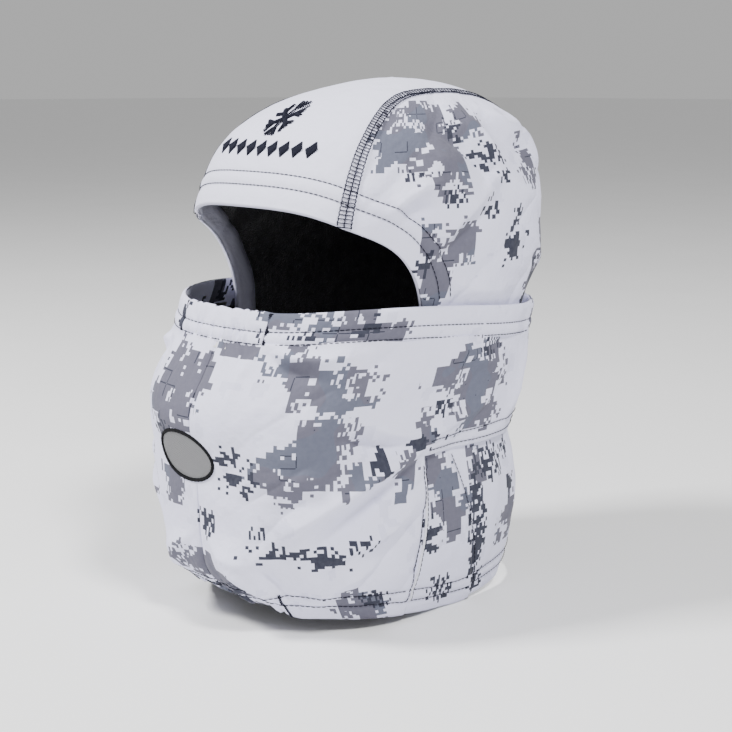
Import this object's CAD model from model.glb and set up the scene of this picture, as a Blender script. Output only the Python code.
from math import atan2, cos, pi, radians, sin

import bpy
import numpy as np
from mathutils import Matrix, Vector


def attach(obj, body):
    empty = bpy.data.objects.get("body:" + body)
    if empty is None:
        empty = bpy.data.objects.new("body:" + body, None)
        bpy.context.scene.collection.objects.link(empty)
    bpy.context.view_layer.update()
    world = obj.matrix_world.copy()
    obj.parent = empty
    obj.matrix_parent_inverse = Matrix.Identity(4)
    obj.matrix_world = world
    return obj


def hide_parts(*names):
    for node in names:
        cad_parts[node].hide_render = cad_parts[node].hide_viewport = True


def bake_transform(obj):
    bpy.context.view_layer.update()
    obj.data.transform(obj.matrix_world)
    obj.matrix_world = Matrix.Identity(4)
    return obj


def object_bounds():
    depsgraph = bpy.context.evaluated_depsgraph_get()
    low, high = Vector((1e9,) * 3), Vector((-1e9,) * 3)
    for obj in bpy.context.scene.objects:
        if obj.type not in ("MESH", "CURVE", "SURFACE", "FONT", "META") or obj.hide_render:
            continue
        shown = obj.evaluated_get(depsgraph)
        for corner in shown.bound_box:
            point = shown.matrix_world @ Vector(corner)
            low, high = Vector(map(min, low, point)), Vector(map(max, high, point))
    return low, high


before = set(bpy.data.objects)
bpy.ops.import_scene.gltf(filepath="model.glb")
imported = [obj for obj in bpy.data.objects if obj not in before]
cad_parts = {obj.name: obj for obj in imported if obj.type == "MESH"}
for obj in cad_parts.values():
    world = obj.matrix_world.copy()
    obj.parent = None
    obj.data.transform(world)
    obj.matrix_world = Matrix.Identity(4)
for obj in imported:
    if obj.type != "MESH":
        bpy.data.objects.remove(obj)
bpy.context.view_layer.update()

# Lengths are millimetres until a mesh is made. +Z is up, the face looks along -Y, and +X is the
# wearer's left.
MM = 0.001
SIDES = {"left": 1, "right": -1}

# ---- the garment's forms: level rings (height, half width, front, back)
BLUNT = 2.6
MIDDLE = 0.54
HOOD_ROWS = [
    (-204, 74, -82, 84), (-188, 78, -94, 90), (-170, 81, -107, 96), (-150, 83.5, -113, 99),
    (-120, 85.5, -117.2, 98), (-88, 86, -116.5, 91), (-60, 85.5, -106, 95), (-35, 85.5, -101, 103),
    (-12, 85.5, -97, 111.5), (12, 88, -96, 121), (35, 89.5, -90.5, 122), (60, 87, -80.5, 118),
    (80, 79, -68, 110), (95, 67, -48, 99), (106, 51, -22, 84), (113, 32, 6, 66), (117, 12, 26, 46),
    (117.7, 0.5, 35.5, 36.5),
]
MASK_ROWS = [
    (-204, 72, -82, 82), (-188, 78, -97, 84), (-170, 81.5, -110.5, 84), (-150, 86, -116.3, 85.5),
    (-120, 90, -120.6, 89), (-95, 92, -121.6, 94), (-70, 93, -125.2, 102), (-45, 93, -114.2, 107),
    (-25, 91.5, -104.1, 111.4), (-12, 90.5, -99, 116.7), (2, 89.5, -94, 121),
]
NECK_ROWS = [
    (-204, 72, -82, 90), (-188, 79, -97, 96), (-170, 83, -110, 102), (-150, 86.5, -116, 104.5),
    (-120, 89, -120, 101), (-95, 89.3, -121, 93), (-75, 88, -118, 93),
]

# ---- edges, as seen from the side: (y, z)
BROW_EDGE = [(-112, 47), (-86, 46), (-67, 36), (-44, 23.5), (-31, 9), (-24, -10), (-22, -45), (-26, -93)]
BAND_EDGE = [(-140, -12.5), (-105, -11.5), (-80, -9), (-42, -8), (0, -10.5), (67, -16.5), (135, -19)]
HEM_EDGE = [(-140, -187), (-90, -187), (-40, -190), (0, -195), (30, -195), (70, -191), (140, -187)]
CHEEK_SEAM = [(-204, -32), (-165, -27), (-125, -25), (-93, -30)]
NECK_SEAM = [(-204, 28), (-165, 20), (-125, 7), (-88, -12)]
CROWN_EDGE = [(-110, 66), (-66, 65), (-46, 60), (-28, 53), (-8, 46), (20, 43), (70, 45), (135, 48)]

BAND_HEIGHT = 18.0
BAND_ROWS = (10.4, 17.0)
HEM_ROWS = (9.4, 16.4)
BROW_ROWS = (12.4, 20.4)
WING_FLOOR = -93.0
WING_ROWS = (2.9, 8.4)
HOOD_FLOOR = -91.0
NECK_TOP = -86.0
LINING_FLOOR = -97.0
LINING_REACH = radians(66)
NAPE_RAISED = 2.0      # the nape's hem is higher than the front's
NOSE_ELASTIC = 36.0
CHIN_ELASTIC = 48.0
VENT_AT = (-9.0, -94.0)
VENT = (23.0, 12.5)
VENT_TILT = radians(5)
STEP = 1.25            # spacing of the cloth's mesh
ROW_STEP = 0.7         # spacing of the points under a row of stitches


# ---- curves and forms
def summed(steps):
    """Steps turned into how far along each point is."""
    return np.concatenate([[0], np.cumsum(steps)])


def smooth_curve(points):
    """A natural cubic spline through (knot, value) pairs, as a function."""
    knots = np.array([p[0] for p in points], float)
    values = np.array([p[1] for p in points], float)
    count = len(knots)
    gap = np.diff(knots)
    matrix = np.eye(count)
    target = np.zeros(count)
    for i in range(1, count - 1):
        matrix[i, i - 1:i + 2] = gap[i - 1], 2 * (gap[i - 1] + gap[i]), gap[i]
        target[i] = 6 * ((values[i + 1] - values[i]) / gap[i] - (values[i] - values[i - 1]) / gap[i - 1])
    bend = np.linalg.solve(matrix, target)

    def at(x):
        x = np.clip(x, knots[0], knots[-1])
        i = np.clip(np.searchsorted(knots, x, side="right") - 1, 0, count - 2)
        h = gap[i]
        p = (knots[i + 1] - x) / h
        q = 1 - p
        curve = ((p ** 3 - p) * bend[i] + (q ** 3 - q) * bend[i + 1]) * h * h / 6
        return p * values[i] + q * values[i + 1] + curve

    return at


class Form:
    """A closed form through level rings. A point is named by its angle from the front and height."""

    def __init__(self, rows, level):
        rows = np.array(rows, float)
        rise = np.diff(rows[:, 0])
        spread = np.diff(rows[:, 1] + (rows[:, 3] - rows[:, 2]) / 2) / 2
        knots = summed(np.hypot(rise, spread))
        self.run = np.linspace(0, knots[-1], 3000)
        columns = [smooth_curve(list(zip(knots, rows[:, k])))(self.run) for k in range(4)]
        self.z = np.maximum.accumulate(columns[0])
        self.sizes = columns[1:]
        self.angles = np.linspace(0, pi, 721)
        ring = self.at(self.angles, np.full(721, float(level)))
        self.arc = summed(np.linalg.norm(np.diff(ring, axis=0), axis=1))

    def ring(self, z):
        half, front, back = (np.interp(z, self.z, column) for column in self.sizes)
        centre = front + MIDDLE * (back - front)
        return half, centre, centre - front, back - centre

    def at(self, angle, z):
        half, centre, front, back = self.ring(z)
        s, k = np.sin(angle), -np.cos(angle)
        depth = np.where(k < 0, front, back)
        reach = ((np.abs(s) / half) ** BLUNT + (np.abs(k) / depth) ** BLUNT) ** (-1 / BLUNT)
        return np.stack([reach * s, centre + reach * k, z + 0 * angle], -1)

    def value(self, points):
        """Below zero inside the form, above zero outside."""
        x, y, z = points[..., 0], points[..., 1], points[..., 2]
        half, centre, front, back = self.ring(z)
        depth = np.where(y < centre, front, back)
        level = (np.abs(x) / half) ** BLUNT + (np.abs(y - centre) / depth) ** BLUNT - 1
        return level + 2 * np.maximum(z - self.z[-1], 0)

    def normal(self, points):
        step = 0.6
        slopes = []
        for axis in range(3):
            shift = np.zeros(3)
            shift[axis] = step
            slopes.append(self.value(points + shift) - self.value(points - shift))
        slopes = np.stack(slopes, -1)
        return slopes / np.maximum(np.linalg.norm(slopes, axis=-1, keepdims=True), 1e-9)

    def half_width(self, y, z):
        half, centre, front, back = self.ring(z)
        depth = np.where(y < centre, front, back)
        left = np.maximum(1 - (np.abs(y - centre) / depth) ** BLUNT, 0)
        return half * left ** (1 / BLUNT)

    def front_at(self, x, z):
        half, centre, front, _ = self.ring(z)
        left = np.maximum(1 - (np.abs(x) / half) ** BLUNT, 0)
        return centre - front * left ** (1 / BLUNT)

    def around(self, angle):
        """Length of cloth from the centre front."""
        return np.sign(angle) * np.interp(np.abs(angle), self.angles, self.arc)

    def angle_at(self, length):
        return np.sign(length) * np.interp(np.abs(length), self.arc, self.angles)

    def angle_of(self, y, z):
        """The angle, on the wearer's left, at which each level passes y."""
        turns = np.linspace(0, pi, 400)
        ys = self.at(turns[None, :] + 0 * z[:, None], z[:, None] + 0 * turns[None, :])[..., 1]
        return np.array([np.interp(y[i], ys[i], turns) for i in range(len(z))])

    def run_at(self, z):
        return np.interp(z, self.z, self.run) - np.interp(0, self.z, self.run)


HOOD = Form(HOOD_ROWS, 35)
MASK = Form(MASK_ROWS, -60)
NECK = Form(NECK_ROWS, -120)
band_height_at = smooth_curve(BAND_EDGE)
hem_height_at = smooth_curve(HEM_EDGE)
cheek_at = smooth_curve(CHEEK_SEAM)
neck_at = smooth_curve(NECK_SEAM)
crown_half = smooth_curve(CROWN_EDGE)


def edge_level(form, angle, edge, start):
    """The height at which each angle's line meets an edge drawn on the side view."""
    z = np.full(np.shape(angle), float(start))
    for _ in range(15):
        z = edge(form.at(angle, z)[..., 1])
    return z


def hem_level(form, angle):
    return edge_level(form, angle, hem_height_at, start=-188)


def band_level(angle):
    return edge_level(MASK, angle, band_height_at, start=-14)


def seam_angle(form, seam, z):
    """The angle, on the wearer's left, at which a seam passes each height."""
    z = np.atleast_1d(np.asarray(z, float))
    return form.angle_of(seam(z), z)


def side_path(points, count=900):
    """An edge on the side view, as many close points."""
    spread = summed(np.hypot(*np.diff(np.array(points, float), axis=0).T))
    at = np.linspace(0, spread[-1], count)
    return np.stack([smooth_curve(list(zip(spread, column)))(at) for column in zip(*points)], -1)


def beside(path, distance):
    run = np.gradient(path, axis=0)
    run /= np.linalg.norm(run, axis=1, keepdims=True)
    return path + distance * np.stack([-run[:, 1], run[:, 0]], -1)


BROW_PATH = side_path(BROW_EDGE)


def brow_distance(y, z):
    thin = BROW_PATH[::6]
    flat = np.stack([np.ravel(y), np.ravel(z)], -1)
    near = [np.min(np.hypot(*(thin - p).T)) for p in flat]
    return np.reshape(near, np.shape(y))


# ---- relief of worn cloth: folds, gathers and puckers
def grain(p, q, size, seed):
    """Smooth random relief between -1 and 1, in bumps about size across."""
    table = np.random.default_rng(seed).uniform(-1, 1, (64, 64))
    p, q = np.asarray(p) / size, np.asarray(q) / size
    i, j = np.floor(p).astype(int), np.floor(q).astype(int)
    s, t = p - i, q - j
    s, t = s * s * (3 - 2 * s), t * t * (3 - 2 * t)
    low = table[i % 64, j % 64] * (1 - s) + table[(i + 1) % 64, j % 64] * s
    high = table[i % 64, (j + 1) % 64] * (1 - s) + table[(i + 1) % 64, (j + 1) % 64] * s
    return low * (1 - t) + high * t


def fold(p, q, path, height, width):
    """A crease along a path: its crest stands out by height and falls away over width."""
    best = np.full(np.shape(p), 1e9)
    along = np.zeros(np.shape(p))
    for k, ((a, b), (c, d)) in enumerate(zip(path, path[1:])):
        t = ((p - a) * (c - a) + (q - b) * (d - b)) / ((c - a) ** 2 + (d - b) ** 2)
        t = np.clip(t, 0, 1)
        far = np.hypot(p - a - t * (c - a), q - b - t * (d - b))
        along = np.where(far < best, (k + t) / (len(path) - 1), along)
        best = np.minimum(best, far)
    taper = np.sin(pi * np.clip(0.08 + 0.84 * along, 0, 1)) ** 0.8
    crest = np.exp(-(np.sqrt(best ** 2 + (0.35 * width) ** 2) - 0.35 * width) / width)
    return height * taper * crest


def dip(value, at, width):
    return np.exp(-(((value - at) / width) ** 2))


def gathers(along, up, pitch, seed):
    """Uneven puffs side by side with pinched valleys between, from 0 to 1."""
    return np.sqrt(np.abs(grain(along, up * 0.17, pitch, seed)))


# Folds of the mask's cloth: path of (length round from the centre front, height), crest, width.
MASK_FOLDS = [
    ([(150, -88), (122, -97), (98, -110), (66, -130)], 4.2, 7.0),
    ([(150, -94), (128, -108), (104, -124), (84, -140)], -2.6, 6.0),
    ([(142, -127), (118, -136), (92, -147)], 3.0, 6.0),
    ([(134, -84), (116, -84), (96, -78)], -2.4, 4.0),
    ([(148, -80), (128, -76), (108, -70)], 2.2, 5.0),
    ([(44, -28), (56, -33), (72, -36), (90, -34)], 2.6, 4.0),
    ([(42, -32), (58, -40), (80, -44)], -2.0, 4.5),
    ([(38, -28), (30, -44), (27, -62)], 1.4, 5.0),
    ([(22, -150), (36, -162), (50, -172), (60, -182)], 3.2, 5.0),
    ([(66, -184), (60, -168), (46, -152)], -2.2, 4.5),
    ([(74, -184), (84, -170), (100, -160), (122, -154)], 2.4, 6.0),
    ([(8, -138), (22, -146), (40, -150)], 1.8, 6.0),
    ([(96, -100), (76, -98), (52, -102)], 1.6, 8.0),
    ([(160, -30), (186, -44), (214, -52)], 2.0, 6.0),
    ([(156, -84), (176, -74), (204, -68)], 1.8, 5.0),
    ([(224, -84), (236, -66), (246, -44)], 1.9, 5.0),
    ([(256, -86), (262, -64), (266, -40)], -1.8, 4.0),
]
# Folds of the hood's sides: path on the side view (y, z), crest, width.
HOOD_FOLDS = [
    ([(-46, 42), (-36, 50), (-24, 56), (-8, 59)], 2.6, 3.6),
    ([(-42, 36), (-30, 43), (-16, 46)], -2.2, 4.0),
    ([(-22, 20), (-4, 36), (18, 52), (40, 64)], 3.2, 5.0),
    ([(-18, 14), (2, 28), (26, 42)], -2.4, 5.0),
    ([(-16, 78), (-2, 66), (10, 50)], 1.8, 6.0),
    ([(-4, 92), (12, 78), (24, 62)], -1.8, 5.0),
    ([(24, 96), (34, 84), (38, 68)], 2.2, 5.0),
    ([(46, 98), (60, 88), (76, 84)], 2.4, 4.5),
    ([(40, 90), (56, 80), (80, 74)], -2.0, 4.0),
    ([(70, 96), (82, 80), (88, 62)], 2.2, 5.0),
    ([(44, 60), (62, 50), (84, 46)], 1.7, 6.0),
    ([(-8, 6), (12, -2), (40, -6)], 1.6, 6.0),
    ([(30, 20), (52, 8), (80, 4)], 1.4, 7.0),
    ([(60, 28), (84, 16), (100, -2)], 1.6, 6.0),
]


def mask_relief(u, z, drop, rise):
    """How far the mask's cloth stands out. drop is down from its edge, rise up from its hem."""
    side = np.abs(u)
    other = u < 0
    p = np.where(other, side * 0.97 + 5 * np.sin(z / 24), side)
    q = np.where(other, z + 4 * np.sin(side / 31), z)
    relief = 1.6 * grain(u, z, 36, 3) + 0.9 * grain(u, z, 15, 5) + 0.16 * grain(u, z, 5, 8)
    calm = np.clip((rise - 6) / 24, 0.1, 1) * np.where(other, 0.65, 1)
    for path, height, width in MASK_FOLDS:
        relief += 2.3 * calm * fold(p, q, path, height, 0.85 * width)
    slack = np.clip((side - 26) / 26, 0, 1) * np.clip((236 - side) / 20, 0, 1)
    across, along = 0.8 * q - 0.6 * p, 0.8 * p + 0.6 * q
    relief += 3.0 * calm * slack * (gathers(across, along, 21, 91) - 0.6)
    below = np.maximum(drop - BAND_HEIGHT, 0)
    nose = np.exp(-below / 9) * np.clip((NOSE_ELASTIC + 10 - side) / 10, 0, 1)
    relief += 4.2 * nose * (gathers(u, drop, 5.4, 21) - 0.6)
    chin = np.exp(-rise / 17) * np.clip((CHIN_ELASTIC + 14 - side) / 12, 0, 1)
    relief += 3.6 * chin * (gathers(u, rise, 6.5, 33) - 0.6)
    pulled = np.clip((CHIN_ELASTIC + 16 - side) / 22, 0, 1)
    relief -= 5.5 * pulled * np.exp(-rise / 12)
    relief += 4.0 * pulled * dip(rise, 34, 16)
    back = np.exp(-below / 16) * np.clip((side - 226) / 14, 0, 1)
    relief += 2.2 * back * (gathers(u, drop, 4.6, 41) - 0.6)
    relief -= 1.3 * np.exp(-side / 1.7) * np.clip(below / 6, 0, 1)
    pucker = 0.25 * grain(u, z, 3.2, 51)
    for at in HEM_ROWS:
        relief -= (0.55 + pucker) * dip(rise, at, 1.8)
    relief = relief * np.clip(0.35 + below / 12, 0, 1)
    vent = np.hypot((u - VENT_AT[0]) / (VENT[0] + 8), (z - VENT_AT[1]) / (VENT[1] + 8))
    return relief * np.clip((vent - 0.75) * 3, 0.15, 1)


def hood_relief(points):
    """How far the hood's cloth stands out."""
    x, y, z = points[..., 0], points[..., 1], points[..., 2]
    from_seam = np.abs(x) - crown_half(y)
    on_side = np.clip(from_seam / 6, 0, 1) * np.clip((z + 30) / 25, 0, 1)
    p = np.where(x < 0, y + 6 * np.sin(z / 19), y)
    q = np.where(x < 0, z + 5 * np.sin(y / 23), z)
    folds = 1.1 * grain(y + 300 * (x < 0), z, 30, 13) + 0.4 * grain(y, z, 12, 15)
    for path, height, width in HOOD_FOLDS:
        folds = folds + 2.0 * fold(p, q, path, height, width)
    folds = folds + 2.6 * (gathers(0.75 * q - 0.66 * p, 0.75 * p + 0.66 * q, 19, 95) - 0.6)
    broad = 0.8 * grain(x, y, 34, 17) + 0.12 * grain(x, y, 6, 19)
    seam = -1.1 * np.exp(-np.abs(from_seam) / 3.2) * (1 + 0.5 * grain(y, z, 4.5, 23))
    edge = brow_distance(y, z)
    rows = sum(dip(edge, at, 1.7) for at in BROW_ROWS) * np.clip((z + 5) / 10, 0, 1)
    hem = 0.5 * dip(edge, 16.4, 3.2) + 0.4 * dip(edge, 6, 4)
    calm = np.clip((edge - 3) / 20, 0.25, 1)
    return (folds * on_side + broad) * calm + seam - 0.45 * rows + hem * np.clip((z + 5) / 10, 0, 1)


def neck_relief(u, z, rise):
    relief = 1.0 * grain(u, z, 32, 61) + 0.35 * grain(u, z, 11, 63)
    relief += fold(np.abs(u), z, [(205, -96), (212, -120), (206, -150)], 1.8, 7)
    relief += fold(np.abs(u), z, [(236, -100), (244, -126), (232, -160)], 1.6, 8)
    for at in HEM_ROWS:
        relief -= 0.5 * dip(rise, at, 1.8)
    return relief * np.clip(0.3 + (-95 - z) / 15, 0.3, 1)


# ---- mesh helpers
def mesh_object(name, points, faces, uv=None, materials=()):
    """A mesh of points in millimetres. A corner that a face names twice is taken once."""
    mesh = bpy.data.meshes.new(name)
    faces = [list(dict.fromkeys(map(int, face))) for face in faces]
    mesh.from_pydata((np.asarray(points) * MM).tolist(), [], faces)
    mesh.update()
    if uv is not None:
        layer = mesh.uv_layers.new(name="cloth")
        index = np.empty(len(mesh.loops), dtype=np.int32)
        mesh.loops.foreach_get("vertex_index", index)
        layer.data.foreach_set("uv", np.asarray(uv, dtype=np.float32)[index].ravel())
    mesh.polygons.foreach_set("use_smooth", [True] * len(mesh.polygons))
    for material in materials:
        mesh.materials.append(material)
    piece = bpy.data.objects.new(name, mesh)
    bpy.context.scene.collection.objects.link(piece)
    return piece


def thicken(piece, thickness):
    """Makes a skin into closed cloth of one thickness, inwards. Its inside gets the second material."""
    solid = piece.modifiers.new("thick", "SOLIDIFY")
    solid.thickness = thickness * MM
    solid.offset = -1
    solid.use_even_offset = False
    solid.material_offset = 1 if len(piece.data.materials) > 1 else 0
    graph = bpy.context.evaluated_depsgraph_get()
    mesh = bpy.data.meshes.new_from_object(piece.evaluated_get(graph))
    piece.modifiers.clear()
    piece.data = mesh


def grid_faces(index):
    """Quads over a grid of vertex numbers, (rows, columns)."""
    corners = (index[:-1, :-1], index[:-1, 1:], index[1:, 1:], index[1:, :-1])
    return np.stack([c.ravel() for c in corners], -1)


def outward(points, faces):
    """The faces turned so that they look away from the head's middle."""
    p = points[faces]
    normal = np.cross(p[:, 2] - p[:, 0], p[:, 3] - p[:, 1])
    away = p.mean(1) * np.array([1, 1, 0.65])
    flip = np.sum(normal * away, -1) < 0
    return np.where(flip[:, None], faces[:, ::-1], faces)


def cloth(name, grids, materials, thickness=1.6, hole=None):
    """A cloth piece from grids of (points, normals, uv), joined where they share an edge.
    hole says which face middles to leave out."""
    points, uvs, faces, start = [], [], [], 0
    for p, _, uv in grids:
        rows, columns = p.shape[:2]
        points.append(p.reshape(-1, 3))
        uvs.append(uv.reshape(-1, 2))
        faces.append(grid_faces(np.arange(rows * columns).reshape(rows, columns)) + start)
        start += rows * columns
    points, uvs, faces = np.concatenate(points), np.concatenate(uvs), np.concatenate(faces)
    _, first, where = np.unique(np.round(points / 0.02).astype(int), axis=0, return_index=True,
                                return_inverse=True)
    faces = where.ravel()[faces]
    points, uvs = points[first], uvs[first]
    faces = faces[[len(set(face)) > 2 for face in faces.tolist()]]
    if hole is not None:
        faces = faces[~hole(points[faces].mean(1))]
    used = np.unique(faces)
    renumber = np.full(len(points), -1)
    renumber[used] = np.arange(len(used))
    faces = outward(points[used], renumber[faces])
    piece = mesh_object(name, points[used], faces, uvs[used], materials)
    if thickness:
        thicken(piece, thickness)
    return piece


def strands(name, runs, radii, material, flat=1.0, sides=6):
    """Threads along (path, normals) runs with as many stations each. radii: one for each station."""
    paths, normals = (np.array([run[k] for run in runs], float) for k in range(2))
    run = np.gradient(paths, axis=1)
    run /= np.maximum(np.linalg.norm(run, axis=-1, keepdims=True), 1e-9)
    across = np.cross(run, normals)
    across /= np.maximum(np.linalg.norm(across, axis=-1, keepdims=True), 1e-9)
    up = np.cross(across, run)
    turn = np.arange(sides) * 2 * pi / sides
    radii = np.broadcast_to(np.asarray(radii, float), paths.shape[:2])[..., None, None]
    ring = across[:, :, None] * np.cos(turn)[:, None] + flat * up[:, :, None] * np.sin(turn)[:, None]
    points = paths[:, :, None] + radii * ring
    count, stations = paths.shape[:2]
    index = np.arange(count * stations * sides).reshape(count, stations, sides)
    a, b = index[:, :-1], index[:, 1:]
    walls = np.stack([a, b, np.roll(b, -1, 2), np.roll(a, -1, 2)], -1).reshape(-1, 4).tolist()
    ends = index[:, 0].tolist() + index[:, -1, ::-1].tolist()
    return mesh_object(name, points.reshape(-1, 3), walls + ends, materials=[material])


def run_along(path):
    """How far along a path each of its points is."""
    return summed(np.linalg.norm(np.diff(path, axis=0), axis=1))


def resample(path, spacing):
    """Evenly spaced points along a path."""
    run = run_along(path)
    at = np.arange(0, run[-1], spacing)
    return np.stack([np.interp(at, run, path[:, k]) for k in range(3)], -1)


def stitch_row(name, runs, material, long=2.8, gap=0.3, radius=0.27):
    """Separate stitches along one or more (path, normals) runs on the cloth."""
    stitches = []
    for path, normals in runs:
        run = run_along(path)
        starts = np.arange(0.5, run[-1] - long, long + gap)
        at = starts[:, None] + np.linspace(0, long, 5)[None, :]
        lift = radius * np.array([-0.1, 0.5, 0.75, 0.5, -0.1])
        n = np.stack([np.interp(at, run, normals[:, k]) for k in range(3)], -1)
        p = np.stack([np.interp(at, run, path[:, k]) for k in range(3)], -1)
        stitches += zip(p + n * lift[None, :, None], n)
    thick = radius * np.array([0.45, 0.95, 1.0, 0.95, 0.45])
    return strands(name, stitches, thick, material)


# ---- materials
class Shade:
    """Short names for building one material's nodes."""

    def __init__(self, name):
        self.material = bpy.data.materials.new(name)
        self.material.use_nodes = True
        self.tree = self.material.node_tree
        self.shader = self.tree.nodes["Principled BSDF"]

    def node(self, kind, **settings):
        made = self.tree.nodes.new("ShaderNode" + kind)
        for key, value in settings.items():
            setattr(made, key, value)
        return made

    def join(self, source, target):
        if isinstance(source, bpy.types.NodeSocket):
            self.tree.links.new(source, target)
        else:
            target.default_value = source

    def math(self, operation, a, b=0.0, clamp=False):
        made = self.node("Math", operation=operation, use_clamp=clamp)
        self.join(a, made.inputs[0])
        self.join(b, made.inputs[1])
        return made.outputs[0]

    def add(self, a, b, clamp=False):
        return self.math("ADD", a, b, clamp)

    def sub(self, a, b, clamp=False):
        return self.math("SUBTRACT", a, b, clamp)

    def mul(self, a, b, clamp=False):
        return self.math("MULTIPLY", a, b, clamp)

    def over(self, a, b):
        return self.math("GREATER_THAN", a, b)

    def surface(self, **values):
        """Joins or sets inputs of the shader, with _ for each space in a name."""
        for name, value in values.items():
            self.join(value, self.shader.inputs[name.replace("_", " ")])

    def vector(self, operation, a, b=(0, 0, 0)):
        made = self.node("VectorMath", operation=operation)
        self.join(a, made.inputs[0])
        self.join(b, made.inputs[1])
        return made.outputs["Value" if operation == "LENGTH" else "Vector"]

    def noise(self, where, scale, detail=2.0):
        made = self.node("TexNoise")
        self.join(where, made.inputs["Vector"])
        made.inputs["Scale"].default_value = scale
        made.inputs["Detail"].default_value = detail
        return made.outputs["Fac"]

    def wave(self, where, direction, scale, distortion):
        made = self.node("TexWave", wave_type="BANDS", bands_direction=direction)
        self.join(where, made.inputs["Vector"])
        made.inputs["Scale"].default_value = scale
        made.inputs["Distortion"].default_value = distortion
        return made.outputs["Fac"]

    def chance(self, where):
        made = self.node("TexWhiteNoise", noise_dimensions="3D")
        self.join(where, made.inputs["Vector"])
        return made.outputs["Value"]

    def mix(self, share, a, b):
        made = self.node("Mix", data_type="RGBA")
        self.join(share, made.inputs["Factor"])
        self.join(a, made.inputs["A"])
        self.join(b, made.inputs["B"])
        return made.outputs["Result"]

    def cells(self, where, width, height):
        """The middle of the print cell that a place on the cloth is in."""
        scaled = self.vector("DIVIDE", where, (width, height, 1))
        whole = self.vector("FLOOR", scaled)
        centred = self.vector("ADD", whole, (0.5, 0.5, 0.5))
        return self.vector("MULTIPLY", centred, (width, height, 1))

    def field(self, where, blotches):
        """Above zero inside the blotches (x, y, half width, half height), up to one in the middle."""
        total = None
        for x, y, wide, high in blotches:
            local = self.vector("SUBTRACT", where, (x, y, 0))
            scaled = self.vector("MULTIPLY", local, (1 / abs(wide), 1 / abs(high), 0))
            share = self.sub(1.0, self.vector("LENGTH", scaled))
            total = share if total is None else self.math("MAXIMUM", total, share)
        return total

    def bump(self, height, strength, distance, below=None):
        made = self.node("Bump")
        made.inputs["Strength"].default_value = strength
        made.inputs["Distance"].default_value = distance
        self.join(height, made.inputs["Height"])
        if below is not None:
            self.join(below, made.inputs["Normal"])
        return made.outputs["Normal"]

    def cloth_surface(self, where, colour):
        """Fine weave, soft creases and a slight sheen."""
        weave = self.add(self.wave(where, "X", 0.55, 0.6), self.wave(where, "Y", 0.55, 0.6))
        creases = self.noise(where, 0.09, 4.0)
        fine = self.bump(weave, 0.12, 0.0003)
        relief = self.bump(creases, 0.35, 0.004, fine)
        dusk = self.mul(self.noise(where, 0.35, 3.0), 0.10)
        tinted = self.mix(dusk, colour, (0.45, 0.46, 0.55, 1))
        self.surface(Normal=relief, Base_Color=tinted, Roughness=0.82, Sheen_Weight=0.08,
                     Sheen_Roughness=0.4, Specular_IOR_Level=0.25)


WHITE = (0.76, 0.76, 0.95, 1)
PALE = (0.60, 0.60, 0.78, 1)
GREY = (0.105, 0.102, 0.140, 1)
BLUE_GREY = (0.100, 0.109, 0.155, 1)
SLATE = (0.012, 0.014, 0.030, 1)


def cloth_place(shade):
    made = shade.node("UVMap", uv_map="cloth")
    return made.outputs["UV"]


def camo(name, shift, greys, darks, specks, open_sides):
    """Snow digital print: grey and slate blotches of square cells on lilac white.
    shift is the part's place along the print. open_sides gives the lengths round past which more
    blotches are left to chance."""
    shade = Shade(name)
    greys, darks, specks = ([(x, y + shift, wide, high) for x, y, wide, high in blotches]
                            for blotches in (greys, darks, specks))
    add, sub, mul, over = shade.add, shade.sub, shade.mul, shade.over
    noise, chance, cells = shade.noise, shade.chance, shade.cells
    where = cloth_place(shade)
    coarse, fine, dash = cells(where, 4.2, 3.6), cells(where, 2.1, 1.8), cells(where, 1.5, 2.6)
    apart = shade.node("SeparateXYZ")
    shade.join(where, apart.inputs[0])
    low = mul(sub(open_sides[0], apart.outputs["X"]), 0.06, True)
    high = mul(sub(apart.outputs["X"], open_sides[1]), 0.06, True)
    shut = mul(sub(1.0, add(low, high, True)), 4.0)
    chance_grey = sub(mul(sub(noise(coarse, 0.021, 1.0), 0.50), 5.5), shut)
    elsewhere = shade.vector("ADD", fine, (300, 90, 5))
    chance_dark = sub(mul(sub(noise(elsewhere, 0.032, 1.0), 0.60), 7.0), shut)
    cell_edge = sub(chance(fine), 0.5)
    grey = shade.math("MAXIMUM", shade.field(coarse, greys), chance_grey)
    grey = add(grey, mul(sub(noise(coarse, 0.085, 2.0), 0.5), 2.4))
    is_grey = over(add(grey, mul(cell_edge, 0.26)), 0.16)
    holes = mul(sub(noise(fine, 0.055, 1.0), 0.52), 6.0, True)
    holes = mul(holes, over(chance(dash), 0.52))
    is_grey = sub(is_grey, over(holes, 0.35), True)
    dark = shade.math("MAXIMUM", shade.field(fine, darks), chance_dark)
    dark = add(dark, mul(sub(noise(fine, 0.16, 2.0), 0.5), 4.2))
    is_dark = over(add(dark, mul(cell_edge, 0.35)), 0.42)
    speck = over(mul(mul(shade.field(dash, specks), 1.0, True), chance(dash)), 0.30)
    # A dark line stands where a large cell and its shifted twin drew unlike numbers.
    twin = chance(cells(shade.vector("ADD", where, (0.7, 0.7, 0)), 9.0, 7.0))
    lines = shade.math("ABSOLUTE", sub(chance(cells(where, 9.0, 7.0)), twin))
    lines = mul(over(lines, 0.62), is_grey)
    ground = shade.mix(mul(over(noise(fine, 0.05, 2.0), 0.63), 0.45), WHITE, PALE)
    colour = shade.mix(over(noise(where, 0.03, 1.0), 0.56), GREY, BLUE_GREY)
    colour = shade.mix(is_grey, ground, colour)
    for mark in (lines, speck, is_dark):
        colour = shade.mix(mark, colour, SLATE)
    shade.cloth_surface(where, colour)
    return shade.material


def plain_cloth(name, colour):
    shade = Shade(name)
    shade.cloth_surface(cloth_place(shade), colour)
    return shade.material


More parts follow.
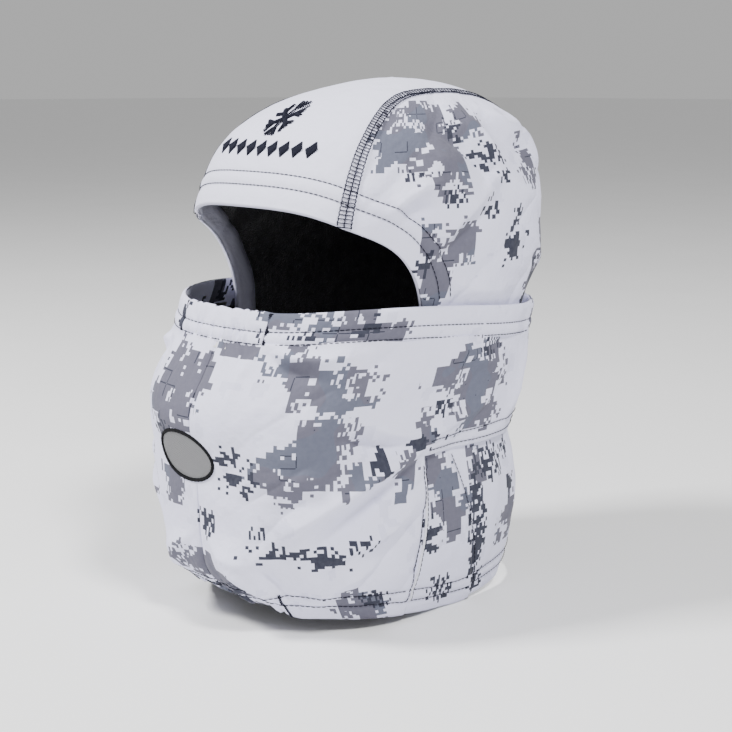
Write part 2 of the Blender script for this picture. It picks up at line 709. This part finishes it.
def fleece():
    shade = Shade("fleece")
    where = shade.node("TexCoord").outputs["Object"]
    tufts = shade.noise(where, 900, 3.0)
    clumps = shade.noise(where, 160, 2.0)
    colour = shade.mix(clumps, (0.010, 0.010, 0.012, 1), (0.045, 0.045, 0.05, 1))
    relief = shade.bump(tufts, 0.8, 0.0015, shade.bump(clumps, 0.5, 0.003))
    shade.surface(Base_Color=colour, Normal=relief, Roughness=1.0, Sheen_Weight=0.4)
    return shade.material


def spun(name, dark, light, scale=1500, rough=0.6):
    """Twisted thread or woven tape."""
    shade = Shade(name)
    where = shade.node("TexCoord").outputs["Object"]
    twist = shade.wave(where, "DIAGONAL", scale, 2.0)
    shade.surface(Base_Color=shade.mix(twist, dark, light), Normal=shade.bump(twist, 0.5, 0.0002),
                  Roughness=rough, Specular_IOR_Level=0.12)
    return shade.material


def floor_material():
    shade = Shade("floor")
    where = shade.node("TexCoord").outputs["Object"]
    tone = shade.mix(shade.noise(where, 6, 2.0), (0.86, 0.86, 0.86, 1), (0.90, 0.90, 0.90, 1))
    shade.surface(Base_Color=tone, Roughness=0.9)
    return shade.material


# Print blotches on each part of the cloth: (length round, height, half width, half height).
MASK_GREYS = [
    (-20, -58, 26, 26), (2, -50, 8, 20), (-26, -112, 14, 15), (18, -31, 22, 6), (64, -37, 20, 12),
    (88, -52, 24, 16), (92, -76, 22, 20), (74, -92, 34, 17), (66, -108, 14, 9), (104, -96, 12, 10),
    (186, -52, 34, 20), (160, -48, 12, 8), (190, -74, 26, 12), (152, -76, 8, 12), (140, -100, 8, 20),
    (109, -180, 20, 15), (-8, -156, 30, 13), (14, -168, 26, 12), (2, -186, 26, 14),
]
MASK_DARKS = [
    (27, -92, 15, 8), (36, -103, 18, 8), (64, -143, 22, 7), (88, -146, 17, 8), (118, -91, 9, 8),
    (-42, -20, 8, 10), (150, -84, 14, 6), (10, -184, 26, 13), (-24, -182, 10, 8), (22, -172, 12, 8),
]
MASK_SPECKS = [
    (8, -130, 14, 15), (112, -138, 16, 10), (48, -132, 10, 7), (196, -38, 20, 10), (-30, -80, 16, 12),
    (164, -66, 12, 8), (120, -176, 18, 12),
]
BAND_GREYS = [(46, -12, 18, 7), (84, -14, 22, 12), (112, -20, 16, 8), (262, -26, 14, 18), (96, -24, 24, 5)]
BAND_DARKS = [(-42, -20, 8, 9), (98, -18, 12, 6), (250, -12, 7, 5)]
BAND_SPECKS = [(60, -22, 14, 5), (30, -10, 10, 4), (34, -20, 5, 10)]
NECK_GREYS = [
    (152, -100, 20, 14), (164, -116, 14, 20), (168, -138, 12, 13), (190, -112, 10, 22),
    (232, -150, 18, 15),
]
NECK_DARKS = [
    (149, -144, 9, 11), (193, -158, 7, 26), (190, -124, 6, 18), (196, -184, 9, 12), (231, -128, 10, 8),
]
NECK_SPECKS = [(206, -108, 26, 18), (160, -180, 20, 15), (228, -104, 14, 11), (192, -150, 14, 48)]
HOOD_GREYS = [
    (106, 84, 20, 22), (128, 96, 26, 18), (134, 72, 22, 22), (160, 100, 18, 14), (214, 66, 14, 18),
    (128, 26, 12, 14), (150, 24, 16, 14), (132, 2, 14, 20), (240, 10, 14, 26), (97, 86, 13, 22),
    (102, 102, 16, 13), (122, 110, 20, 11),
]
HOOD_DARKS = [
    (170, 74, 13, 9), (180, 64, 9, 8), (196, 20, 12, 14), (234, -8, 9, 20), (122, 14, 7, 6),
    (146, 92, 10, 8),
]
HOOD_SPECKS = [(168, 44, 14, 12), (138, 50, 14, 10), (112, 64, 12, 8), (196, 40, 8, 8)]


# The parts lie apart on the print: each has its own shift along the second axis.
BAND_SHIFT, NECK_SHIFT, HOOD_SHIFT = 300, -500, 600
camo_mask = camo("camo_mask", 0, MASK_GREYS, MASK_DARKS, MASK_SPECKS, (-46, 236))
camo_band = camo("camo_band", BAND_SHIFT, BAND_GREYS, BAND_DARKS, BAND_SPECKS, (-56, 280))
camo_neck = camo("camo_neck", NECK_SHIFT, NECK_GREYS, NECK_DARKS, NECK_SPECKS, (60, 250))
camo_hood = camo("camo_hood", HOOD_SHIFT, HOOD_GREYS, HOOD_DARKS, HOOD_SPECKS, (60, 250))
white_cloth = plain_cloth("white_cloth", (0.77, 0.77, 0.94, 1))
lining_cloth = fleece()
dark_thread = spun("dark_thread", (0.004, 0.004, 0.010, 1), (0.022, 0.024, 0.040, 1), 1500, 0.8)
black_tape = spun("black_tape", (0.002, 0.002, 0.003, 1), (0.012, 0.012, 0.014, 1), 900, 0.85)
grey_net = spun("grey_net", (0.20, 0.20, 0.21, 1), (0.40, 0.40, 0.41, 1), 1200)
white_cord = spun("white_cord", (0.70, 0.70, 0.80, 1), (0.85, 0.85, 0.94, 1), 900, 0.9)
elastic_tape = spun("elastic_tape", (0.55, 0.55, 0.56, 1), (0.82, 0.82, 0.82, 1), 700)


def mask_piece(piece, slot, *nodes):
    """Cloth and trim of the mask bend from the hood's rest to the pulled-down front."""
    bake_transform(piece)
    if nodes:
        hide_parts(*nodes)


def hood_piece(piece, slot, *nodes):
    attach(piece, "hood")
    if nodes:
        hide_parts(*nodes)


def mask_at(angle, z, lift=0.0):
    """Points on the mask's cloth as worn, with their normals and print places."""
    base = MASK.at(angle, z)
    normal = MASK.normal(base)
    top = band_level(angle)
    hem = hem_level(MASK, angle)
    u = MASK.around(angle)
    relief = mask_relief(u, z, top - z, z - hem)
    return base + normal * (relief + lift)[..., None], normal, np.stack([u, z], -1)


def mask_grids(side, low_rows, high_rows, columns):
    """The front from hem to band, and the wing behind the cheek seam, as two grids."""
    across = np.linspace(0, 1, columns) ** 1.15
    levels = np.linspace(-204, WING_FLOOR, 60)
    turns = seam_angle(MASK, cheek_at, levels)
    front = across * turns[-1]
    angle = front
    for _ in range(6):
        hem = hem_level(MASK, angle)
        angle = across * np.interp(hem, levels, turns)
    hem = hem_level(MASK, angle)
    z_low = hem[None] + (WING_FLOOR - hem[None]) * np.linspace(0, 1, low_rows)[:, None]
    angle_low = across[None] * np.interp(z_low, levels, turns)
    top = band_level(front) - BAND_HEIGHT + 1.5
    z_high = WING_FLOOR + (top[None] - WING_FLOOR) * np.linspace(0, 1, high_rows)[:, None]
    angle_high = np.broadcast_to(front, z_high.shape)
    angle = side * np.concatenate([angle_low, angle_high[1:]])
    z = np.concatenate([z_low, z_high[1:]])
    back = front[-1] + (pi - front[-1]) * np.linspace(0, 1, columns)
    top = band_level(back) - BAND_HEIGHT + 1.5
    z_wing = WING_FLOOR + (top[None] - WING_FLOOR) * np.linspace(0, 1, high_rows)[:, None]
    angle_wing = side * np.broadcast_to(back, z_wing.shape)
    return [mask_at(angle, z), mask_at(angle_wing, z_wing)]


def in_vent(points, margin):
    x, z = points[..., 0] - VENT_AT[0], points[..., 2] - VENT_AT[1]
    p = x * cos(VENT_TILT) - z * sin(VENT_TILT)
    q = x * sin(VENT_TILT) + z * cos(VENT_TILT)
    inside = (p / (VENT[0] + margin)) ** 2 + (q / (VENT[1] + margin)) ** 2 < 1
    return inside & (points[..., 1] < 0)


def make_mask_cloth():
    low, high, columns = int(95 / STEP), int(66 / STEP), int(165 / STEP)
    for name, side in SIDES.items():
        grids = mask_grids(side, low, high, columns)
        piece = cloth("mask_cloth_" + name, grids, [camo_mask, lining_cloth],
                      hole=lambda p: in_vent(p, 0.8))
        mask_piece(piece, "camo_cloth", "mask_front_" + name, "wing_" + name, "chin_panel_" + name)


def make_mask_lining():
    grids = []
    for side in SIDES.values():
        angle = side * np.linspace(0, LINING_REACH, 60)[None, :] + np.zeros((30, 1))
        top = band_level(angle) - BAND_HEIGHT + 3
        z = LINING_FLOOR + (top - LINING_FLOOR) * np.linspace(0, 1, 30)[:, None]
        grids.append(mask_at(angle, z, -2.0))
    piece = cloth("mask_lining_fleece", grids, [lining_cloth], 1.0, hole=lambda p: in_vent(p, 2.5))
    mask_piece(piece, "fleece", "mask_lining")


# Cross-section of the casing: (down from the edge, out from the form), round the fold.
BAND_SECTION = [
    (18.0, -1.2), (18.2, 0.1), (17.0, 0.15), (15.6, 0.9), (13.6, 1.25), (11.6, 0.9), (10.4, 0.2),
    (9.2, 0.9), (6.5, 1.25), (3.5, 1.15), (1.3, 0.75), (0.2, -0.2), (0.0, -1.0), (0.6, -1.8),
    (2.5, -2.4), (6.0, -2.7), (12.0, -2.8), (17.6, -2.5),
]


def band_surface(angle, drop, out):
    top = band_level(angle)
    z = top - drop
    base = MASK.at(angle, z)
    normal = MASK.normal(base)
    u = MASK.around(angle)
    side = np.abs(u)
    held = np.clip((NOSE_ELASTIC + 5 - side) / 6, 0, 1) + np.clip((side - 232) / 14, 0, 1)
    between = np.clip(1 - ((drop - 13.6) / 6.5) ** 2, 0.18, 1)
    ruffle = 3.6 * held * between * (gathers(u, 0.4 * drop, 2.6, 71) - 0.6)
    soft = 0.35 * grain(u, drop, 16, 73) + 0.12 * grain(u, drop, 4.5, 75)
    lean = 0.8 * held * (1 - np.clip(drop / 9, 0, 1)) * grain(u, 0 * u, 7, 77)
    outer = np.clip((out + 1.4) / 1.2, 0, 1)
    rise = held * 1.2 * gathers(u, 0 * u, 3.4, 71) * (1 - np.clip(drop / 6, 0, 1))
    points = base + normal * (out + outer * (ruffle + soft) + lean)[..., None]
    points[..., 2] += rise
    return points, normal, np.stack([u, top - drop + BAND_SHIFT - (out < -1.3) * 40], -1)


def make_band():
    angle = MASK.angle_at(np.linspace(-MASK.arc[-1], MASK.arc[-1], int(2 * MASK.arc[-1] / 0.7)))
    section = np.array(BAND_SECTION)
    spread = summed(np.hypot(*np.diff(section, axis=0).T))
    at = np.linspace(0, spread[-1], 44)
    drop = np.interp(at, spread, section[:, 0])
    out = np.interp(at, spread, section[:, 1])
    angle, drop, out = np.broadcast_arrays(angle[None, :], drop[:, None], out[:, None])
    piece = cloth("mask_band", [band_surface(angle, drop, out)], [camo_band], 0)
    mask_piece(piece, "camo_cloth", "top_band", "wing_band_left", "wing_band_right")


def band_row_run(at, low, high):
    u = np.arange(low, high, ROW_STEP)
    return band_surface(MASK.angle_at(u), np.full(len(u), at), np.full(len(u), 0.4))[:2]


def make_band_threads():
    end = MASK.arc[-1]
    split = MASK.around(np.array([radians(95)]))[0]
    rows = [band_row_run(at, -split, split) for at in BAND_ROWS]
    mask_piece(stitch_row("band_stitches_front", rows, dark_thread), "thread", "top_band_thread")
    for name, side in SIDES.items():
        low, high = sorted((side * split, side * end))
        rows = [band_row_run(at, low, high) for at in BAND_ROWS]
        piece = stitch_row("band_stitches_" + name, rows, dark_thread)
        mask_piece(piece, "thread", "wing_band_thread_" + name)


def tack(surface, length, low, high, wide=2.6):
    """A bar of close cross-threads from low to high, on a surface(along, up)."""
    runs = []
    for k, at in enumerate(np.arange(low, high, 0.62)):
        along = length + wide / 2 * np.linspace(-1, 1, 5) + 0.15 * (-1) ** k
        points, normals = surface(along, np.full(5, at))
        lift = 0.55 * np.array([-0.5, 0.6, 0.8, 0.6, -0.5])
        runs.append((points + normals * lift[:, None], normals))
    return runs


def make_nose_tacks():
    def surface(along, drop):
        return band_surface(MASK.angle_at(along), drop, np.full(len(along), 0.5))[:2]

    at = NOSE_ELASTIC + 2.5
    runs = tack(surface, -at, 1.0, 17.5) + tack(surface, at, 1.0, 17.5)
    mask_piece(strands("nose_tacks", runs, 0.36, dark_thread), "thread", "nose_bar_tacks")


def mask_row_run(u, z):
    return mask_at(MASK.angle_at(u), z, 0.3)[:2]


def neck_row_run(u, z):
    return neck_at_angle(NECK.angle_at(u), z, 0.3)[:2]


def hem_row_run(form, at, low, high):
    u = np.arange(low, high, ROW_STEP)
    z = hem_level(form, form.angle_at(u)) + at
    return u, z


def make_hem_threads():
    seam = MASK.around(seam_angle(MASK, cheek_at, -180))[0]
    rows = [mask_row_run(*hem_row_run(MASK, at, -seam, seam)) for at in HEM_ROWS]
    neck_seam = NECK.around(seam_angle(NECK, neck_at, -180))[0]
    gusset = NECK.around(seam_angle(NECK, cheek_at, -180))[0]
    for side in SIDES.values():
        for at in HEM_ROWS:
            low, high = sorted((side * gusset, side * neck_seam))
            rows.append(neck_row_run(*hem_row_run(NECK, at, low, high)))
    mask_piece(stitch_row("chin_hem_stitches", rows, dark_thread), "thread", "chin_hem_thread")
    rows = []
    for side in SIDES.values():
        low, high = sorted((side * neck_seam, side * NECK.arc[-1]))
        for at in HEM_ROWS:
            rows.append(neck_row_run(*hem_row_run(NECK, at + NAPE_RAISED, low, high)))
    hood_piece(stitch_row("nape_hem_stitches", rows, dark_thread), "thread", "nape_hem_thread")


def make_chin_tacks():
    def surface(along, up):
        angle = MASK.angle_at(along)
        z = hem_level(MASK, angle) + up
        return mask_at(angle, z, 0.4)[:2]

    at = CHIN_ELASTIC + 8
    runs = tack(surface, -at, 0.5, 18.0, 1.2) + tack(surface, at, 0.5, 18.0, 1.2)
    mask_piece(strands("chin_tacks", runs, 0.26, dark_thread), "thread", "chin_bar_tacks")


def make_chin_elastic():
    """Woven tape inside the hem, between its stitch rows."""
    angle = MASK.angle_at(np.linspace(-CHIN_ELASTIC, CHIN_ELASTIC, 120))[None, :] + np.zeros((6, 1))
    up = np.linspace(HEM_ROWS[0] + 1, HEM_ROWS[1] - 1, 6)[:, None]
    z = hem_level(MASK, angle) + up
    piece = cloth("chin_elastic_tape", [mask_at(angle, z, -2.0)], [elastic_tape], 0.6)
    mask_piece(piece, "elastic", "chin_elastic")


def make_wing_threads():
    for name, side in SIDES.items():
        start = MASK.around(MASK.angle_of(np.array([-30.0]), np.array([-90.0])))[0] + 2
        rows = []
        for at, fan in zip(WING_ROWS, (0.0, 2.2)):
            u = np.arange(start, MASK.arc[-1], ROW_STEP)
            z = WING_FLOOR + at + fan * np.clip((u - start) / 80, 0, 1)
            rows.append(mask_row_run(side * u, z))
        piece = stitch_row("wing_stitches_" + name, rows, dark_thread)
        mask_piece(piece, "thread", "wing_hem_thread_" + name)


def vent_surface(p, q, lift):
    """A place on the vent, from its own two axes."""
    x = VENT_AT[0] + p * cos(VENT_TILT) + q * sin(VENT_TILT)
    z = VENT_AT[1] - p * sin(VENT_TILT) + q * cos(VENT_TILT)
    base = np.stack([x, MASK.front_at(x, z), z], -1)
    normal = MASK.normal(base)
    return base + normal * lift, normal


def make_vent():
    runs = []
    for slope in (1, -1):
        for shift in np.arange(-VENT[0] - VENT[1], VENT[0] + VENT[1], 1.15):
            t = np.linspace(-1.5, 1.5, 400) * VENT[1]
            p, q = shift + t, slope * t
            inside = (p / (VENT[0] + 0.6)) ** 2 + (q / (VENT[1] + 0.6)) ** 2 < 1
            if np.count_nonzero(inside) < 8:
                continue
            ends = t[inside][[0, -1]]
            t = np.linspace(ends[0], ends[1], 22)
            runs.append(vent_surface(shift + t, slope * t, 0.15 * slope))
    mask_piece(strands("vent_net", runs, 0.30, grey_net, 0.6), "mesh", "vent_mesh")
    turn = np.linspace(0, 2 * pi, 161)
    edge = vent_surface((VENT[0] + 1.3) * np.cos(turn), (VENT[1] + 1.3) * np.sin(turn), 0.35)
    size = 1.10 + 0.10 * np.sin(turn * 46)
    piece = strands("vent_binding_tape", [edge], size, black_tape, 0.75, 12)
    mask_piece(piece, "binding", "vent_binding")


# ---- the neck's cloth
def neck_at_angle(angle, z, lift=0.0):
    base = NECK.at(angle, z)
    normal = NECK.normal(base)
    hem = hem_level(NECK, angle)
    u = NECK.around(angle)
    relief = neck_relief(u, z, z - hem)
    return base + normal * (relief + lift)[..., None], normal, np.stack([u, z + NECK_SHIFT], -1)


def neck_grid(start_at, end_at, columns, raised=0.0, side=1, lift=0.0):
    """Neck cloth up from the hem, between the angles that two functions give at each height."""
    across = np.linspace(0, 1, columns)[None, :]
    up = np.linspace(0, 1, int(112 / STEP))[:, None]
    z = -190 + (NECK_TOP + 190) * up + 0 * across
    for _ in range(6):
        start = start_at(z)
        angle = start + (end_at(z) - start) * across
        angle = np.where(angle > pi, angle - 2 * pi, angle)
        hem = hem_level(NECK, angle[:1]) + raised
        z = hem + (NECK_TOP - hem) * up
    return neck_at_angle(side * angle, z, lift)


def make_neck():
    levels = np.linspace(-204, -84, 80)
    cheek = seam_angle(NECK, cheek_at, levels)
    neck = seam_angle(NECK, neck_at, levels)

    def front(z):
        return np.interp(z, levels, cheek) - 0.01

    def back(z):
        return np.interp(z, levels, neck)

    for name, side in SIDES.items():
        grid = neck_grid(front, back, int(56 / STEP), side=side)
        piece = cloth("gusset_" + name, [grid], [camo_neck, lining_cloth])
        mask_piece(piece, "camo_cloth", "neck_gusset_" + name)
    grid = neck_grid(back, lambda z: 2 * pi - back(z), int(300 / STEP), NAPE_RAISED, lift=-0.2)
    hood_piece(cloth("nape_cloth", [grid], [camo_neck, lining_cloth]), "camo_cloth", "nape_panel")


def make_hem_folds():
    """Cloth turned up inside the lower edge."""
    section = [(0.0, -1.0), (-0.3, -1.9), (0.8, -2.9), (4.0, -3.2), (12.0, -3.2), (18.5, -3.0)]
    drop, out = np.array(section).T[:, :, None]
    seam = seam_angle(MASK, cheek_at, -185)[0]
    back = seam_angle(NECK, neck_at, -185)[0]
    angle = np.linspace(-seam, seam, 240)[None, :] + 0 * drop
    grids = [mask_at(angle, hem_level(MASK, angle) + drop, out)]
    for side in SIDES.values():
        angle = side * np.linspace(seam, back, 60)[None, :] + 0 * drop
        grids.append(neck_at_angle(angle, hem_level(NECK, angle) + drop, out))
    mask_piece(cloth("chin_hem_fold", grids, [camo_mask], 0.8), "camo_cloth", "chin_hem")
    angle = np.linspace(back, 2 * pi - back, 260)[None, :] + 0 * drop
    angle = np.where(angle > pi, angle - 2 * pi, angle)
    grid = neck_at_angle(angle, hem_level(NECK, angle) + NAPE_RAISED + drop, out)
    hood_piece(cloth("nape_hem_fold", [grid], [camo_neck], 0.8), "camo_cloth", "nape_hem")


def make_gusset_threads():
    z = np.arange(-183, -96, ROW_STEP)
    high = np.arange(-183, -94, ROW_STEP)
    for name, side in SIDES.items():
        rows = [neck_row_run(side * (NECK.around(seam_angle(NECK, seam, z)) + 2.2), z)
                for seam in (cheek_at, neck_at)]
        rows.append(mask_row_run(side * (MASK.around(seam_angle(MASK, cheek_at, z)) - 1.4), z))
        piece = stitch_row("gusset_stitches_" + name, rows, dark_thread)
        mask_piece(piece, "thread", "gusset_seam_thread_" + name)
        angle = NECK.angle_at(side * (NECK.around(seam_angle(NECK, cheek_at, high)) + 0.9))
        ridge = neck_at_angle(angle, high, 0.2)[:2]
        size = 0.85 + 0.08 * np.sin(high * 2.6)
        mask_piece(strands("cheek_ridge_" + name, [ridge], size, white_cord), "camo_cloth")


# ---- the hood's cloth
HEART_Y, HEART_Z = 15.0, 5.0   # the side view is swept round this point


def sweep(turn, width_at):
    """Hood points at a turn over the head (0 forwards, up, then back), x given by their y."""
    low, high = np.zeros(np.shape(turn)), np.full(np.shape(turn), 260.0)
    for _ in range(34):
        reach = (low + high) / 2
        y = HEART_Y - reach * np.cos(turn)
        z = HEART_Z + reach * np.sin(turn)
        points = np.stack([width_at(y) + 0 * reach, y, z], -1)
        inside = HOOD.value(points) < 0
        low, high = np.where(inside, reach, low), np.where(inside, high, reach)
    return points


def brow_turn(share):
    """Turn at which a share of the crown's half width meets the brow edge."""
    y, z = BROW_PATH[:, 0], BROW_PATH[:, 1]
    ratio = HOOD.half_width(y, z) / crown_half(y)
    keep = slice(np.argmax(ratio > 0.001), np.argmax(ratio > 1.15))
    at_y = np.interp(np.abs(share), ratio[keep], y[keep])
    at_z = np.interp(np.abs(share), ratio[keep], z[keep])
    return np.arctan2(at_z - HEART_Z, HEART_Y - at_y)


def nape_turn(share):
    half, centre, _, back = HOOD.ring(HOOD_FLOOR)
    y = np.full(np.shape(share), 95.0)
    for _ in range(10):
        left = 1 - (np.abs(share) * crown_half(y) / half) ** BLUNT
        y = centre + back * left ** (1 / BLUNT)
    return np.arctan2(HOOD_FLOOR - HEART_Z, HEART_Y - y) + 2 * pi


def hood_cloth_at(points, lift=0.0):
    normal = HOOD.normal(points)
    return points + normal * (hood_relief(points) + lift)[..., None], normal


def hood_print(points):
    centre = HOOD.ring(points[..., 2])[1]
    angle = np.arctan2(points[..., 0], centre - points[..., 1])
    return np.stack([HOOD.around(angle), HOOD.run_at(points[..., 2]) + HOOD_SHIFT], -1)


def crown_grid(lift=0.0, step=STEP):
    share = np.linspace(-1, 1, int(125 / step))[None, :]
    start, end = brow_turn(share), nape_turn(share)
    k = np.linspace(0, 1, int(420 / step))[:, None]
    turn = start + (end - start) * k
    base = sweep(turn, lambda y: share * crown_half(y))
    return *hood_cloth_at(base, lift), np.stack([base[..., 0], turn * 100], -1)


def side_outline(step):
    """The side panel's outline on the side view: seam, floor, then the brow edge."""
    turn = np.linspace(brow_turn(np.array([1.0]))[0], nape_turn(np.array([1.0]))[0], int(420 / step))
    seam = sweep(turn, crown_half)[:, 1:]
    brow = BROW_PATH[BROW_PATH[:, 1] > HOOD_FLOOR]
    start = np.argmin(np.hypot(*(brow - seam[0]).T))
    brow = brow[start:][::-1]
    floor = np.linspace(seam[-1], (brow[0][0], HOOD_FLOOR), int(100 / step))
    brow = brow[np.linspace(0, len(brow) - 1, int(175 / step)).astype(int)]
    brow[-1] = seam[0]
    return np.concatenate([seam, floor[1:], brow[1:]])


def side_grid(side, lift=0.0, step=STEP):
    outline = side_outline(step)
    middle = np.array([30.0, 0.0])
    share = 1 - (1 - np.linspace(0, 1, int(90 / step))) ** 1.35
    flat = middle + share[:, None, None] * (outline[None] - middle)
    y, z = flat[..., 0], flat[..., 1]
    base = np.stack([side * HOOD.half_width(y, z), y, z], -1)
    return *hood_cloth_at(base, lift), hood_print(base)


def make_hood_cloth():
    piece = cloth("crown_cloth", [crown_grid()], [white_cloth, lining_cloth])
    hood_piece(piece, "crown_cloth", "crown_panel")
    for name, side in SIDES.items():
        piece = cloth("side_cloth_" + name, [side_grid(side)], [camo_hood, lining_cloth])
        hood_piece(piece, "camo_cloth", "side_panel_" + name)


def make_hood_lining():
    lift, step = -2.0, 2.5
    grids = [crown_grid(lift, step)] + [side_grid(side, lift, step) for side in SIDES.values()]
    hood_piece(cloth("hood_fleece", grids, [lining_cloth], 1.0), "fleece", "hood_lining")


def brow_run(distance, bottom, spacing=ROW_STEP):
    """A line beside the brow edge, from the wearer's right, over the face, to the left."""
    path = beside(side_path(BROW_EDGE, 4000), distance)
    half = HOOD.half_width(path[:, 0], path[:, 1])
    keep = (half > 0.5) & (path[:, 1] > bottom)
    path, half = path[keep], half[keep]
    left = np.stack([half, path[:, 0], path[:, 1]], -1)
    right = left[::-1] * np.array([-1, 1, 1])
    return resample(np.concatenate([right, left]), spacing)


def make_brow_hem():
    """Cloth turned in round the face opening."""
    section = [(0.0, -1.0), (-0.4, -2.0), (0.8, -3.0), (3.0, -3.4), (9.0, -3.5), (15.0, -3.3)]
    count = 330
    rows, uvs = [], []
    for distance, out in section:
        line = brow_run(distance, HOOD_FLOOR, 0.5)
        at = np.linspace(0, len(line) - 1, count)
        base = np.stack([np.interp(at, np.arange(len(line)), line[:, k]) for k in range(3)], -1)
        rows.append(hood_cloth_at(base, out)[0])
        uvs.append(np.stack([at * 0.5 + 700, np.full(count, distance)], -1))
    piece = cloth("brow_hem_fold", [(np.array(rows), None, np.array(uvs))], [white_cloth], 0.8)
    hood_piece(piece, "crown_cloth", "brow_hem")


def make_brow_threads():
    runs = [hood_cloth_at(brow_run(at, -8), 0.25) for at in BROW_ROWS]
    hood_piece(stitch_row("brow_stitches", runs, dark_thread), "thread", "brow_hem_thread")


def seam_path(turn, offset, side):
    points = sweep(turn, lambda y: crown_half(y) + offset)
    return hood_cloth_at(points * np.array([side, 1, 1]), 0.6)


def make_crown_threads():
    """Flatlock: three rails, with a rung across at every stitch."""
    start = brow_turn(np.array([1.0]))[0] + 0.004
    fine = np.linspace(start, nape_turn(np.array([1.0]))[0] - 0.62, 1500)
    centre = sweep(fine, crown_half)
    run = run_along(centre)
    rungs = np.interp(np.arange(0, run[-1], 2.3), run, fine)
    rails = np.interp(np.arange(0, run[-1], 0.9), run, fine)
    half = 3.1
    width = np.linspace(-half, half, 9)
    slant = 0.006 * np.sin(np.linspace(-1, 1, 9) * pi / 2)
    wave = 0.25 * np.sin(np.arange(len(rails)) * 2.2)
    for name, side in SIDES.items():
        ladder = [seam_path(turn + slant, width, side) for turn in rungs]
        edges = [seam_path(rails, offset + wave, side) for offset in (-half, 0.0, half)]
        piece = strands("crown_ladder_" + name, ladder, 0.27, dark_thread)
        rail = strands("crown_rails_" + name, edges, 0.30, dark_thread)
        hood_piece(piece, "thread", "crown_seam_thread_" + name)
        hood_piece(rail, "thread")


def emblem_strand(x, z):
    """Threads laid on the crown at front-view places x, z."""
    base = np.stack([x, HOOD.front_at(x, z), z], -1)
    points, normals = hood_cloth_at(base, 0.5)
    bow = np.array([-0.5, 0.35, 0.6, 0.35, -0.5])
    return points + normals * bow[:, None], normals


def satin(x, z, length, wide, turn):
    """A bar of satin stitch: threads side by side along its length."""
    across = np.linspace(-wide / 2, wide / 2, 5)
    return [emblem_strand(x + at * cos(turn) - across * sin(turn),
                          z + at * sin(turn) + across * cos(turn))
            for at in np.arange(-length / 2, length / 2 + 0.01, 0.55)]


def make_emblem():
    """A snowflake over a row of diamonds."""
    runs = []
    for k in range(6):
        turn = radians(30 + 60 * k)
        x, z = -1 + 5.2 * cos(turn), 93.5 + 4.8 * sin(turn)
        runs += satin(x, z, 8.6, 2.0, turn)
        for lean in (turn + 0.65, turn - 0.65):
            runs += satin(x + 3.4 * cos(lean), z + 3.0 * sin(lean), 4.0, 1.5, lean)
    for k in range(-4, 5):
        for at in np.linspace(-3, 3, 12):
            runs += satin(1 + 9 * k + at, 77.5, 0.1, 9.2 - 2.7 * abs(at), 0.0)
    hood_piece(strands("snowflake_stitches", runs, 0.36, dark_thread), "thread", "emblem")


# ---- everything together
def dress_hidden_nodes():
    for name in ("nose_elastic", "wing_elastic_left", "wing_elastic_right"):
        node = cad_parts[name]
        node.data.materials.clear()
        node.data.materials.append(elastic_tape)


def look_at(thing, target):
    aim = np.array(target) - np.array(thing.location)
    flat = np.hypot(aim[0], aim[1])
    thing.rotation_euler = (pi / 2 + atan2(aim[2], flat), 0, atan2(-aim[0], aim[1]))


def make_camera():
    """Front left, a little above: 46 degrees round and 880 mm out."""
    data = bpy.data.cameras.new("camera")
    camera = bpy.data.objects.new("camera", data)
    bpy.context.scene.collection.objects.link(camera)
    around, out = radians(46), 0.88
    camera.location = (out * sin(around), -out * cos(around), 0.112)
    look_at(camera, (0.0069, 0.0072, -0.058))
    data.lens = 71.3
    data.sensor_width = 36
    data.clip_start = 0.01
    bpy.context.scene.camera = camera


def area_light(name, place, power):
    data = bpy.data.lights.new(name, "AREA")
    data.size = 0.4
    data.energy = power
    light = bpy.data.objects.new(name, data)
    bpy.context.scene.collection.objects.link(light)
    light.location = place
    look_at(light, (0, 0, -0.03))


def make_studio():
    world = bpy.data.worlds.new("studio")
    world.use_nodes = True
    inputs = world.node_tree.nodes["Background"].inputs
    inputs["Color"].default_value = (1, 1, 1, 1)
    inputs["Strength"].default_value = 0.5
    bpy.context.scene.world = world
    area_light("key", (-0.75, -1.15, 1.5), 62)
    area_light("fill", (1.35, -0.35, 1.7), 52)
    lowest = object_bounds()[0][2]
    bpy.ops.mesh.primitive_plane_add(size=60, location=(0, 0, lowest - 0.0005))
    floor = bpy.context.object
    floor.name = "floor"
    floor.data.materials.append(floor_material())


make_camera()
for make in (
    make_hood_cloth, make_hood_lining, make_brow_hem, make_brow_threads, make_crown_threads,
    make_emblem, make_mask_cloth, make_mask_lining, make_band, make_band_threads, make_nose_tacks,
    make_hem_threads, make_chin_tacks, make_chin_elastic, make_wing_threads, make_vent, make_neck,
    make_hem_folds, make_gusset_threads, dress_hidden_nodes,
):
    make()
make_studio()
